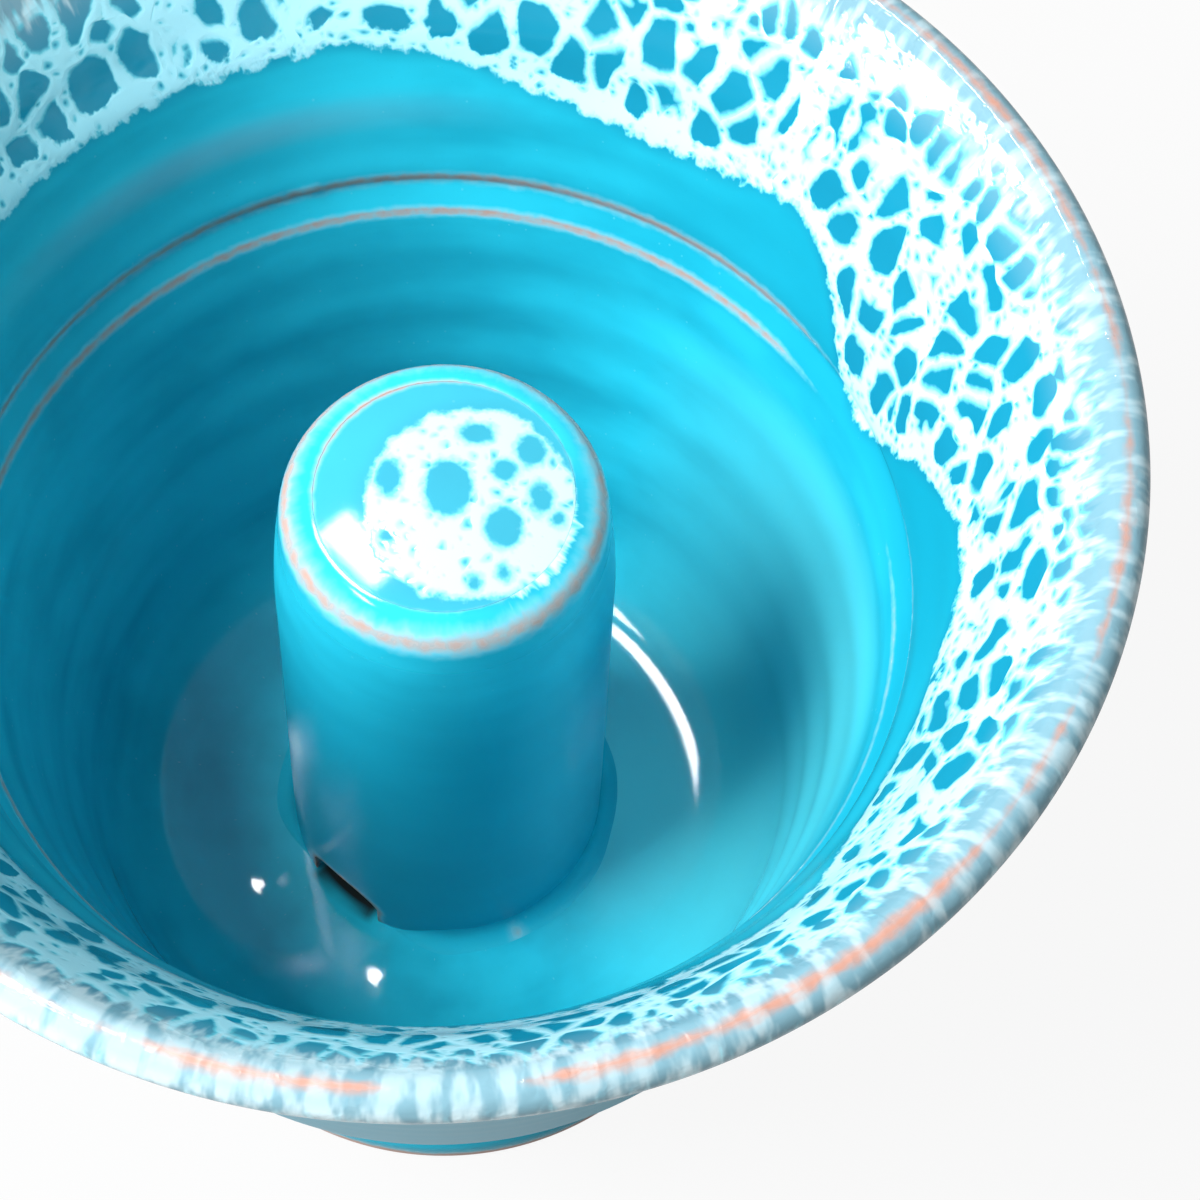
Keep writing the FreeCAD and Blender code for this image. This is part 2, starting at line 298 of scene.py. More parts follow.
# the white glaze, in mm. Triples are bounds of a step and its size
lace = {
    "fringe": 1.5,
    "poolFringe": 0.8,
    "poolShiver": 0.35,
    "poolWander": (0.8, 0.5),
    "runWander": (0.15, 1.3),
    "cellWander": (0.9, 0.32, 3.0),
    "bubbleWander": (1.0, 0.3),
    # width, stretch down the slope, wall, spread of the wall, share left open
    "bigCells": (3.3, 0.72, 0.04, 0.09, 0.98),
    "narrowCells": (2.1, 0.48, 0.04, 0.10, 0.96),
    "corner": (0.41, 0.6),     # from where and how fast a cell's corners fill up
    "narrowTo": 7.0,           # the narrow cells lie nearer to the crest than this
    "narrowPatch": 4.0,
    "ridge": (0.8, 0.0, 0.5),
    "foam": (0.52, 0.66, 0.9),
    "foamShift": (50, 0, 0),
    "roll": (2.4, 0.8, 1.1),
    "halfway": (1.1, 0.3, 3.0),
    "halfShift": 500.0,
    "bubbleGap": 1.0,
    "bubbleSize": (0.8, -0.48),
}

glaze = {
    "deep": (0.005, 0.250, 0.360, 1),
    "turquoise": (0.018, 0.440, 0.580, 1),
    # pale turquoise, for thin glaze and for painted light
    "thin": (0.085, 0.590, 0.680, 1),
    "underLace": (0.007, 0.190, 0.300, 1),
    "pale": (0.120, 0.500, 0.600, 1),
    "milk": (0.300, 0.650, 0.740, 1),
    "white": (0.480, 0.780, 0.860, 1),
    "halo": (0.300, 0.600, 0.670, 1),
    "bloom": (0.110, 0.210, 0.280, 1),
    "mist": (0.155, 0.300, 0.365, 1),
    "fuzz": (0.500, 0.640, 0.680, 1),
    "clay": (0.480, 0.175, 0.085, 1),
    # painted shade: near black for the throat of the port
    "throat": (0.012, 0.016, 0.016, 1),
    # shares of the turquoise: clouds and rings, and how far they are evened out
    "cloudShare": 0.8,
    "ringShare": 0.2,
    "bodyRange": (0.25, 0.65),
    "evened": 0.45,
    # steps: two bounds, and a size where there is a third value
    "darkGrain": (0.40, 0.25, 0.30),
    "speckScale": 0.6,
    "speckEdge": (0.09, 0.04, 0.4),
    "underRun": (-1.5, 1.0, 0.9),
    "underPool": (-1.5, 1.0, 0.35),
    "mistNearLip": (8.0, 2.5, 0.6),
    "paleFrom": (-0.30, -0.02),
    "milkFrom": (-0.10, 0.10),
    "whiteFrom": (0.05, 0.40),
    "drawn": 3.2,
    "drawnLip": (4.4, 2.0),
    "veil": 0.10,
    "fuzzFrom": (0.46, 0.68),
    "fuzzWorn": (2.2, 0.8, -0.5),
    "fuzzMost": 0.95,
    "crumbs": 0.6,
    "haloEdge": (2.2, 1.0),
    "haloOffLip": (4.0, 6.0),
    "haloMost": 0.4,
    "bareEdge": (1.5, 0.3, 0.75),
    # relief and shine
    "raisedFrom": (-0.30, 0.50),
    "grainRelief": 0.05,
    "reliefStrength": 0.6,
    "reliefDepth": 0.05 * mm,
    "gloss": 0.07,
    "satin": 0.32,
    "bareGloss": 0.45,
    "mirror": 0.32,
}

bareClay = {
    "dark": (0.42, 0.17, 0.09, 1),
    "light": (0.52, 0.24, 0.14, 1),
    "grit": (0.62, 0.36, 0.24, 1),
    "cloud": ((0.15, 0.15, 0.15), 3.0, 0.5),
    "cloudRange": (0.3, 0.7),
    "grain": ((3.0, 3.0, 3.0), 4.0, 0.7),
    "gritEdge": (0.55, 0.75, 0.5),
    "reliefStrength": 0.6,
    "reliefDepth": 0.2 * mm,
    "gloss": 0.85,
}


def unrolled(tree, place, flow):
    # the place laid out flat, (along the lip, down the slope), as two halves that meet at X = 0
    parts = addNode(tree, "SeparateXYZ", {0: place}).outputs
    radius = addNode(tree, "VectorMath", {0: stretched(tree, flow, (1, 1, 0))}, operation="LENGTH")
    turn = calc(tree, "ARCTANGENT", calc(tree, "DIVIDE", parts[1], parts[0]))
    along = calc(tree, "MULTIPLY", turn, radius.outputs["Value"])
    side = calc(tree, "SIGN", parts[0])
    along = calc(tree, "MULTIPLY_ADD", side, lace["halfShift"], along)
    return addNode(tree, "CombineXYZ", {0: along, 1: parts[2]}).outputs[0], parts[0]


def cellsAt(tree, place, width, stretch, feature):
    scaled = stretched(tree, place, (1 / width, stretch / width, 0))
    return addNode(tree, "TexVoronoi", {"Vector": scaled, "Scale": 1.0, "Randomness": 0.9},
                   voronoi_dimensions="2D", feature=feature).outputs


def cellField(tree, place, look):
    # + inside an open cell, - in the white between cells, in mm
    width, stretch, wall, spread, openShare = look
    cornerFrom, cornerFill = lace["corner"]
    near = cellsAt(tree, place, width, stretch, "F1")
    edge = cellsAt(tree, place, width, stretch, "DISTANCE_TO_EDGE")
    lot = addNode(tree, "SeparateColor", {0: near["Color"]})
    corner = calc(tree, "MAXIMUM", calc(tree, "SUBTRACT", near["Distance"], cornerFrom), 0.0)
    depth = calc(tree, "MULTIPLY_ADD", corner, -cornerFill, edge["Distance"])
    thick = calc(tree, "MULTIPLY_ADD", lot.outputs[0], spread, wall)
    thick = calc(tree, "ADD", thick, step(tree, lot.outputs[1], openShare, openShare + 0.02))
    return calc(tree, "MULTIPLY", calc(tree, "SUBTRACT", depth, thick), width)


def runCells(tree, flow, depth):
    # + inside a cell of the white that ran down from the lip, and the place the cells lie at
    place = wander(tree, flow, *lace["runWander"])
    ragged, halfway = unrolled(tree, wander(tree, place, *lace["cellWander"]), flow)
    place = unrolled(tree, wander(tree, place, *lace["bubbleWander"]), flow)[0]
    big = cellField(tree, ragged, lace["bigCells"])
    narrow = cellField(tree, ragged, lace["narrowCells"])
    patch = swing(tree, noiseAt(tree, flow, *patterns["patch"]), lace["narrowPatch"])
    high = calc(tree, "ADD", attribute(tree, "crest"), patch)
    high = calc(tree, "ADD", high, -lace["narrowTo"])
    inside = mixValue(tree, step(tree, high, 0.1, -0.1), big, narrow)
    # thicker where the two kinds of cell meet, and in broad patches
    ridge = stepTo(tree, calc(tree, "ABSOLUTE", high), *lace["ridge"])
    inside = calc(tree, "SUBTRACT", inside, ridge)
    foam = noiseAt(tree, shifted(tree, flow, lace["foamShift"]), *patterns["foam"])
    inside = calc(tree, "SUBTRACT", inside, stepTo(tree, foam, *lace["foam"]))
    # the run stops in a thick roll, and runs thick where the halves meet
    low, high, size = lace["halfway"]
    halfway = step(tree, calc(tree, "ABSOLUTE", halfway), low, high)
    extra = calc(tree, "MULTIPLY_ADD", halfway, size, stepTo(tree, depth, *lace["roll"]))
    return calc(tree, "SUBTRACT", inside, extra), place


def laceThickness(tree, flow, placed):
    # how thick the white glaze lies: about 0 at its edge, 0.5 and more where it is solid
    fringe = noiseAt(tree, flow, *patterns["fringe"])
    fringe = swing(tree, fringe, lace["poolFringe" if placed else "fringe"])
    depth = calc(tree, "ADD", attribute(tree, "lace"), fringe)
    if placed:
        shiver = swing(tree, noiseAt(tree, flow, *patterns["shiver"]), lace["poolShiver"])
        inside = calc(tree, "ADD", attribute(tree, "open"), shiver)
        place = wander(tree, flow, *lace["poolWander"])
    else:
        inside, place = runCells(tree, flow, depth)
    # round bubbles
    gap = lace["bubbleGap"]
    spot = cellsAt(tree, place, gap, 1.0, "F1")
    lot = addNode(tree, "SeparateColor", {0: spot["Color"]}).outputs[0]
    bubble = calc(tree, "MULTIPLY_ADD", lot, *lace["bubbleSize"])
    bubble = calc(tree, "MULTIPLY", calc(tree, "SUBTRACT", bubble, spot["Distance"]), gap)
    inside = calc(tree, "MAXIMUM", inside, bubble)
    thick = calc(tree, "MULTIPLY", inside, -1.0)
    return calc(tree, "MINIMUM", thick, depth)


def turquoiseTone(tree, flow, grain):
    # the turquoise itself: broad clouds, rings of the throwing, a fine grain and pale specks
    cloud = noiseAt(tree, flow, *patterns["cloud"])
    rings = noiseAt(tree, flow, *patterns["rings"])
    body = calc(tree, "MULTIPLY", cloud, glaze["cloudShare"])
    body = calc(tree, "MULTIPLY_ADD", rings, glaze["ringShare"], body)
    tone = mixTone(tree, step(tree, body, *glaze["bodyRange"]), glaze["deep"], glaze["turquoise"])
    tone = mixTone(tree, glaze["evened"], tone, glaze["turquoise"])
    tone = mixTone(tree, stepTo(tree, grain, *glaze["darkGrain"]), tone, glaze["deep"])
    scale = glaze["speckScale"]
    speck = addNode(tree, "TexVoronoi", {"Vector": stretched(tree, flow, (scale, scale, scale)),
                                         "Scale": 1.0}, feature="F1")
    speck = stepTo(tree, speck.outputs["Distance"], *glaze["speckEdge"])
    tone = mixTone(tree, speck, tone, glaze["pale"])
    # paler where the glaze lies thin and where light is painted, deeper where it pools and where
    # shade is painted
    thin = attribute(tree, "thin")
    tone = mixTone(tree, calc(tree, "MAXIMUM", thin, 0.0), tone, glaze["thin"])
    pooled = calc(tree, "MAXIMUM", calc(tree, "MULTIPLY", thin, -1.0), 0.0)
    return mixTone(tree, pooled, tone, glaze["deep"])


def lipTone(tree, flow, crest):
    # at the lip both glazes are drawn out to soft streaks, fewer where the veil is thin
    streaks = noiseAt(tree, flow, *patterns["streaks"])
    streaks = calc(tree, "MULTIPLY_ADD", attribute(tree, "veil"), glaze["veil"], streaks)
    low, high, worn = glaze["fuzzWorn"]
    most = calc(tree, "MULTIPLY_ADD", step(tree, crest, low, high), worn, glaze["fuzzMost"])
    fuzz = calc(tree, "MULTIPLY", step(tree, streaks, *glaze["fuzzFrom"]), most)
    return mixTone(tree, fuzz, glaze["mist"], glaze["fuzz"])


def glazeMaterial(name, placed):
    material, tree = newMaterial(name)
    flow = attribute(tree, "flow", "Vector")
    crest = attribute(tree, "crest")
    thick = laceThickness(tree, flow, placed)
    grain = noiseAt(tree, flow, *patterns["grain"])
    tone = turquoiseTone(tree, flow, grain)
    # deeper under the lace, greyer towards the lip
    under = stepTo(tree, attribute(tree, "lace"), *glaze["underPool" if placed else "underRun"])
    tone = mixTone(tree, under, tone, glaze["underLace"])
    tone = mixTone(tree, stepTo(tree, crest, *glaze["mistNearLip"]), tone, glaze["mist"])
    # white over turquoise, pale where it is thin
    tone = mixTone(tree, step(tree, thick, *glaze["paleFrom"]), tone, glaze["pale"])
    tone = mixTone(tree, step(tree, thick, *glaze["milkFrom"]), tone, glaze["milk"])
    # painted shade: the white drawn milkier on the walls that face away from the light
    white = mixTone(tree, attribute(tree, "weak"), glaze["white"], glaze["milk"])
    tone = mixTone(tree, step(tree, thick, *glaze["whiteFrom"]), tone, white)
    drawn = swing(tree, noiseAt(tree, flow, *patterns["drawn"]), glaze["drawn"])
    nearLip = step(tree, calc(tree, "ADD", crest, drawn), *glaze["drawnLip"])
    tone = mixTone(tree, nearLip, tone, lipTone(tree, flow, crest))
    # pale, then clay, where the glaze breaks
    crumbs = swing(tree, noiseAt(tree, flow, *patterns["crumbs"]), glaze["crumbs"])
    bare = calc(tree, "ADD", attribute(tree, "bare"), crumbs)
    offLip = step(tree, crest, *glaze["haloOffLip"])
    halo = calc(tree, "MULTIPLY", step(tree, bare, *glaze["haloEdge"]), offLip)
    halo = calc(tree, "MULTIPLY", halo, glaze["haloMost"])
    tone = mixTone(tree, halo, tone, glaze["halo"])
    # brown bloom, with painted shade in a ring over the groove
    tone = mixTone(tree, attribute(tree, "bloom"), tone, glaze["bloom"])
    bareness = stepTo(tree, bare, *glaze["bareEdge"])
    tone = mixTone(tree, bareness, tone, glaze["clay"])
    # painted shade in the throat of the port
    tone = mixTone(tree, attribute(tree, "shade"), tone, glaze["throat"])
    # the white stands up, the bare clay lies low
    raised = step(tree, thick, *glaze["raisedFrom"])
    height = calc(tree, "MULTIPLY_ADD", grain, glaze["grainRelief"], raised)
    height = calc(tree, "SUBTRACT", height, bareness)
    bump = addNode(tree, "Bump", {"Height": height, "Strength": glaze["reliefStrength"],
                                  "Distance": glaze["reliefDepth"]})
    gloss = mixValue(tree, attribute(tree, "satin"), glaze["gloss"], glaze["satin"])
    gloss = mixValue(tree, bareness, gloss, glaze["bareGloss"])
    shader = addNode(tree, "BsdfPrincipled", {"Base Color": tone, "Roughness": gloss,
                                              "Specular IOR Level": glaze["mirror"],
                                              "Normal": bump.outputs[0]})
    addNode(tree, "OutputMaterial", {0: shader.outputs[0]})
    return material


def clayMaterial(name):
    material, tree = newMaterial(name)
    place = addNode(tree, "TexCoord").outputs["Object"]
    place = stretched(tree, place, (1 / mm, 1 / mm, 1 / mm))
    cloud = noiseAt(tree, place, *bareClay["cloud"])
    grit = noiseAt(tree, place, *bareClay["grain"])
    share = step(tree, cloud, *bareClay["cloudRange"])
    tone = mixTone(tree, share, bareClay["dark"], bareClay["light"])
    tone = mixTone(tree, stepTo(tree, grit, *bareClay["gritEdge"]), tone, bareClay["grit"])
    bump = addNode(tree, "Bump", {"Height": grit, "Strength": bareClay["reliefStrength"],
                                  "Distance": bareClay["reliefDepth"]})
    shader = addNode(tree, "BsdfPrincipled", {"Base Color": tone, "Roughness": bareClay["gloss"],
                                              "Normal": bump.outputs[0]})
    addNode(tree, "OutputMaterial", {0: shader.outputs[0]})
    return material


laceGlaze = glazeMaterial("turquoise_and_lace_glaze", placed=False)
poolGlaze = glazeMaterial("turquoise_and_pool_glaze", placed=True)
clay = clayMaterial("bare_terracotta")
print("finishes ready")


# Bowl

bowl = {
    "coarse": 0.72,
    "fine": 0.24,
    "steps": 320,
    "soften": 3,
    "fillLine": (34.4, 61.0),
    "grooveFoot": (33.55, 57.9),
    "grooveDepth": 0.45,
    "grooveStep": 0.35,
    "flowRadius": 40,
    # finger rings: where they grow and fade, and the groove between that stays free of them
    "ringPitch": 6.5,
    "ringDepth": 0.08,
    "ringRange": (31, 84),
    "ringGrows": (31, 36),
    "ringFades": (82, 76),
    "ringFree": (56.5, 62.5),
    "outerRing": -0.3,
    # patches round the cup: (size, middle, half width), the last two in degrees
    "veil": [(1.0, -75, 100)],
    # the white's painted shade, on the walls away from the light
    "weak": [(1.0, 190, 95), (0.7, -110, 110)],
    "crestGaps": [(1.2, -44, 8), (0.25, 50, 60)],
    "healed": [(1.6, 62, 26), (0.5, 20, 50)],
    "runs": [(5.5, 105, 40), (14, 65, 24), (4, 45, 14), (6, 20, 28), (3, 5, 15), (3, -90, 100)],
    # the worn line on the lip: its half width, and ripples that narrow it (times, seed, size)
    "crestHalf": 0.9,
    "crestRipples": [(3.5, 4.0, 0.9), (8.0, 5.0, 0.8)],
    # outside: the white's edge, a line below the lip (down, half width, closed by) of worn glaze
    # that also paints the shade under the lip, a deeper tone painted as shade on the outer wall,
    # where it is satin, and the bare underside
    "outerLace": 3.6,
    "outerRipple": (2.5, 8.0),
    "outerLine": (3.4, 0.45, 0.7),
    "outerDeep": (5, 9, 0.8),
    "outerSatin": (6, 10),
    "underside": (22.4, 15.7),
    # inside: the white's edge down the slope, and the half widths of the groove's worn edges
    "laceEdge": 14.2,
    "laceRipple": (7.0, 3.0, 0.7),
    "upperHalf": 0.48,
    "lowerHalf": 0.42,
    "lowerClosed": 0.3,
    "lowerHealed": 1.3,
    # paler low on the right, a painted highlight where the light falls on that wall, deeper just
    # under the lace there
    # and below the groove: (size, middle, half width, from, to), the last two down the slope
    "thin": [(1.0, 42, 70, 29, 42), (-1.0, 55, 90, 38, 24), (-0.4, 130, 40, 30, 36)],
    # a darker brown ring over the groove on the far left, brownish glaze and the painted shade of
    # a finger ring: the same, about one slope
    "bloom": (0.45, 160, 45, 2.2, 0.3),
    "bloomSlope": 20.3,
    "satin": (0.6, 16, 20, 62, 56),
    # azimuth, height, size and depth of a chip under the groove
    "chip": (149.0, 61.3, 0.6, 0.35),
    # low beads of glaze on the floor: (azimuth, radius, size, height)
    "beads": [(-110, 16.3, 2.2, 0.15), (-63, 16.2, 2.6, 0.18), (-99, 17.6, 1.4, 0.06)],
    # painted shade on the floor under the arch of the port: across, and from and to along -Y
    "throatAcross": (3.5, 2.6),
    "throatFrom": (6.0, 7.0),
    "throatTo": (12.7, 11.9),
}


def bowlOutline():
    fillR, fillZ = bowl["fillLine"]
    footR, footZ = bowl["grooveFoot"]
    edge = bowl["grooveStep"]
    return [
        (3.0, 14.0),
        (3.0, floorHeight),
        (17.5, floorHeight),
        (21.5, 21.4, 20.0, -1),
        (26.3, 24.2, 7.84, -1),
        (28.0, 30.0, 11.5, -1),
        (footR, footZ),
        (footR + 0.2, footZ + edge),
        (fillR + bowl["grooveDepth"], fillZ - edge),
        (fillR, fillZ),
        (44.59, 84.32, 65.0, 1),
        (45.90, 85.00, 1.6, 1),
        (47.50, 83.40, 1.6, 1),
        (47.21, 82.48, 1.6, 1),
        (38.60, 61.00, 50.0, -1),
        (32.80, 30.00),
        (22.50, 15.50, 21.0, 1),
        (13.60, 15.50),
        (13.60, 14.00),
    ]


def slopeFromLip(bm):
    # distance along the outline from the crest of the lip: + inside, - outside
    crest = max(bm.verts, key=lambda v: v.co.z)
    slope = {crest: 0.0}
    for sign in (1, -1):
        inward = min if sign == 1 else max
        edge = inward(crest.link_edges, key=lambda e: e.other_vert(crest).co.x)
        vert, walked = crest, 0.0
        while True:
            walked += edge.calc_length()
            vert = edge.other_vert(vert)
            if vert in slope:
                break
            slope[vert] = sign * walked
            if vert.co.x < 3.01:
                # the rim of the drain
                break
            edge = next(e for e in vert.link_edges if e != edge)
    return slope


def throatShade(vert):
    ahead = -vert.co.y
    along = smooth(ahead, *bowl["throatFrom"]) * smooth(ahead, *bowl["throatTo"])
    return smooth(abs(vert.co.x), *bowl["throatAcross"]) * along


def crestWear(vert, degrees, slope):
    ripples = [size * max(ripple(vert, times, seed), 0)
               for times, seed, size in bowl["crestRipples"]]
    line = 0.5 + abs(slope) / bowl["crestHalf"]
    return line + sum(ripples) + sum(humps(degrees, bowl["crestGaps"]))


def describeOutside(vert, slope, marks, crestLine):
    # a brown line below the lip: worn glaze, and painted shade under the lip
    down, half, closed = bowl["outerLine"]
    marks["lace"] = bowl["outerLace"] + slope + ripple(vert, *bowl["outerRipple"])
    marks["bare"] = min(crestLine, closed + abs(slope + down) / half)
    radius, top = bowl["underside"]
    if vert.co.z < top and vert.co.xy.length < radius:
        marks["bare"] = 0.0
    low, high, deep = bowl["outerDeep"]
    marks["satin"] = smooth(-slope, *bowl["outerSatin"])
    # painted shade: the outer wall drawn deeper below the lip
    marks["thin"] = -deep * smooth(-slope, low, high)


def describeInside(vert, slope, marks, crestLine):
    degrees = degreesOf(vert)
    out, height = vert.co.xy.length, vert.co.z
    times, seed, size = bowl["laceRipple"]
    edge = bowl["laceEdge"] + sum(humps(degrees, bowl["runs"])) + size * ripple(vert, times, seed)
    marks["lace"] = edge - slope
    # the groove's edges: worn through on the far left, healed over on the right
    healed = sum(humps(degrees, bowl["healed"]))
    (fillR, fillZ), (footR, footZ) = bowl["fillLine"], bowl["grooveFoot"]
    upper = math.hypot(out - fillR, height - fillZ) / bowl["upperHalf"] + healed
    lower = math.hypot(out - footR, height - footZ) / bowl["lowerHalf"]
    lower += bowl["lowerClosed"] + bowl["lowerHealed"] * healed
    chipAt, chipHeight, chipSize = bowl["chip"][:3]
    chip = math.hypot(math.radians(degrees - chipAt) * out, height - chipHeight) / chipSize
    marks["bare"] = min(crestLine, upper, lower, chip + 0.5)
    # painted shade on the floor under the port's arch
    if height < floorHeight + 0.1:
        marks["shade"] = throatShade(vert)
    # paler on the lit right wall, a painted highlight; deeper under the lace there and below the
    # groove
    marks["thin"] = sum(size * hump(degrees, middle, half) * smooth(slope, low, high)
                        for size, middle, half, low, high in bowl["thin"])
    # a brownish ring with the painted shade of a shallow finger ring
    size, middle, half, low, high = bowl["bloom"]
    ring = smooth(abs(slope - bowl["bloomSlope"]), low, high)
    marks["bloom"] = size * hump(degrees, middle, half) * ring
    size, start, full, end, fade = bowl["satin"]
    marks["satin"] = size * smooth(slope, start, full) * smooth(slope, end, fade)


def describeBowl(vert, slope):
    degrees = degreesOf(vert)
    marks = {"crest": abs(slope), "veil": sum(humps(degrees, bowl["veil"])),
             "weak": max(humps(degrees, bowl["weak"]))}
    describe = describeOutside if slope < 0 else describeInside
    describe(vert, slope, marks, crestWear(vert, degrees, slope))
    return roundFlow(vert, bowl["flowRadius"], slope), marks


def ringWave(vert, inside):
    # finger rings climb in a spiral, fainter on one side than on the other
    height = vert.co.z
    (low, high), (freeLow, freeHigh) = bowl["ringRange"], bowl["ringFree"]
    if not low < height < high or freeLow < height < freeHigh:
        return 0.0
    turns = height / bowl["ringPitch"] + degreesOf(vert) / 360
    depth = smooth(height, *bowl["ringGrows"]) * smooth(height, *bowl["ringFades"])
    depth *= bowl["ringDepth"] * (1 + ripple(vert, 1.5, 7.0, 0.08))
    wave = math.sin(turns * math.tau) * depth
    return wave if inside else bowl["outerRing"] * abs(wave)


def makeBowl():
    bm = newPiece()
    drawOutline(bm, bowlOutline(), bowl["coarse"], bowl["fine"])
    softenOutline(bm, bowl["soften"])
    flow = bm.verts.layers.float_vector["flow"]
    for vert, slope in slopeFromLip(bm).items():
        vert[flow] = (0, 0, slope)
    spinRound(bm, bowl["steps"])
    layGlaze(bm, lambda vert: describeBowl(vert, vert[flow].z))
    chipAt, chipHeight, chipSize, chipDepth = bowl["chip"]
    for vert in bm.verts:
        inside = vert[flow].z > 0
        height = vert.co.z
        move = ringWave(vert, inside)
        if inside:
            across = math.radians(degreesOf(vert) - chipAt) * bowl["fillLine"][0]
            away = math.hypot(across, height - chipHeight)
            move -= chipDepth * smooth(away, chipSize, 0)
        vert.co.xy += vert.co.xy.normalized() * move
        if inside and height < floorHeight + 1:
            for azimuth, radius, size, rise in bowl["beads"]:
                turn = math.radians(azimuth)
                bead = Vector((math.cos(turn), math.sin(turn))) * radius
                vert.co.z += rise * smooth((vert.co.xy - bead).length, size, 0)
    return finishPiece(bm, "cup_bowl", [laceGlaze], ["bowl"])


makeBowl()


# Siphon column and its cap

column = {
    "steps": 192,
    "coarse": 0.6,
    "fine": 0.25,
    "soften": 2,
    "outline": [
        (8.0, 20.7), (12.7, 20.7), (12.7, 27.0), (12.3, 58.0), (11.5, 70.6, 90.0, -1),
        (9.1, columnTop, 2.5, -1), (recessRadius, columnTop), (recessRadius, recessFloor),
        (8.0, recessFloor),
    ],
    "rise": 52.2,              # floor to the top
    "lean": (0.35, 1.05),      # off the axis at the floor and at the top
    "leanAzimuth": 38.5,
    "portWidth": 7.0,
    "portSpring": 2.6,
    "portHeight": 5.0,
    "cutterPlace": (0, -5, 0),
    "cutterReach": (0, -12, 0),
    "portRounding": 0.45,
    "sharp": 0.9,              # angle of an edge that the port's rounding takes in
    "flowRadius": 12.5,
    "flowTop": 60,             # height that counts as 0 down the slope
    # the worn shoulder: its middle (r, z), half width and how much that varies
    "shoulder": (11.0, 72.1, 1.0, 0.2),
    # the seam round the cap: closed by, opened by (size, middle, half width), half width
    "seamClosed": 1.6,
    "seamOpen": (1.0, 170, 110),
    "seamHalf": 0.3,
    "seamFrom": 72.4,
    "poolFrom": 71,
    "poolFades": (73, 3),      # below this height the pool thins, by so much per mm
    "portWear": (0.4, 0.5),
    # painted shade in the port's throat fades in between these radii
    "throat": (12.3, 11.6),
    "throatTop": 27,
    "throatReach": 0.15,
    # painted shade: the side drawn deeper below the shoulder, from and to down the slope, and how
    # deep
    "deep": (-8, 4, -0.75),
    "satin": (-12, -8),
}

cap = {
    "steps": 192,
    "fine": 0.25,
    "soften": 2,
    "outline": [(0.0, recessFloor), (capRadius, recessFloor), (capRadius, columnTop),
                (0.0, 73.95, 53.2, -1)],
    "pool": (1.9, 0.7, 7.2),   # x, y and radius of the white
    "poolRipple": (1.6, 9.0, 0.8),
    "tilt": 42,
    # round gaps in the pool: (x, y, width, length), turned by the tilt
    "cells": [
        (0.1, 0.3, 3.1, 4.1), (4.9, 0.7, 2.4, 2.9), (-1.4, 4.9, 2.1, 1.5),
        (2.2, 6.5, 1.9, 2.4), (2.0, 4.0, 1.6, 1.5), (5.2, 4.1, 1.4, 2.1),
        (-3.5, -1.8, 1.6, 2.5), (7.1, 3.8, 0.8, 0.9), (6.2, -3.7, 0.8, 0.9),
        (7.2, -1.8, 0.8, 0.9), (-0.5, -5.2, 0.8, 0.8),
    ],
    "opened": 0.15,
    "marks": {"thin": -0.3, "bloom": 0.2},
}


def poolDepth(vert):
    x, y, radius = cap["pool"]
    times, seed, size = cap["poolRipple"]
    edge = radius + size * ripple(vert, times, seed)
    return edge - math.hypot(vert.co.x - x, vert.co.y - y)


def leanColumn(bm):
    low, high = column["lean"]
    angle = math.radians(column["leanAzimuth"])
    way = Vector((math.cos(angle), math.sin(angle)))
    for vert in bm.verts:
        share = (vert.co.z - floorHeight) / column["rise"]
        vert.co.xy += way * (low + (high - low) * share)


def portCrown():
    # rise of the arch over its springing, and its radius
    half = column["portWidth"] / 2
    rise = column["portHeight"] - column["portSpring"]
    return rise, (half * half + rise * rise) / (2 * rise)


def portDistance(x, z):
    # from the outline of the arched port, + outside it
    up = z - floorHeight
    if up < column["portSpring"]:
        return abs(x) - column["portWidth"] / 2
    rise, radius = portCrown()
    return math.hypot(x, up - (column["portHeight"] - radius)) - radius


def portCutter():
    # the arch as a solid that reaches through the front wall
    half, spring = column["portWidth"] / 2, floorHeight + column["portSpring"]
    radius = portCrown()[1]
    bottom = floorHeight - 2
    bm = bmesh.new()
    drawOutline(bm, [(-half, bottom), (-half, spring), (half, spring, radius, 1),
                     (half, bottom)], 0.5, 0.5)
    face = bmesh.ops.contextual_create(bm, geom=bm.verts[:] + bm.edges[:])["faces"][0]
    bmesh.ops.translate(bm, verts=bm.verts, vec=column["cutterPlace"])
    grown = bmesh.ops.extrude_face_region(bm, geom=[face])["geom"]
    grown = [g for g in grown if isinstance(g, bmesh.types.BMVert)]
    bmesh.ops.translate(bm, verts=grown, vec=column["cutterReach"])
    bmesh.ops.recalc_face_normals(bm, faces=bm.faces)
    return bm


def onPortRim(edge):
    if len(edge.link_faces) != 2 or edge.calc_face_angle(0) <= column["sharp"]:
        return False
    return all(v.co.y < 0 and v.co.z > floorHeight - 0.1
               and abs(portDistance(v.co.x, v.co.z)) < 0.1 for v in edge.verts)


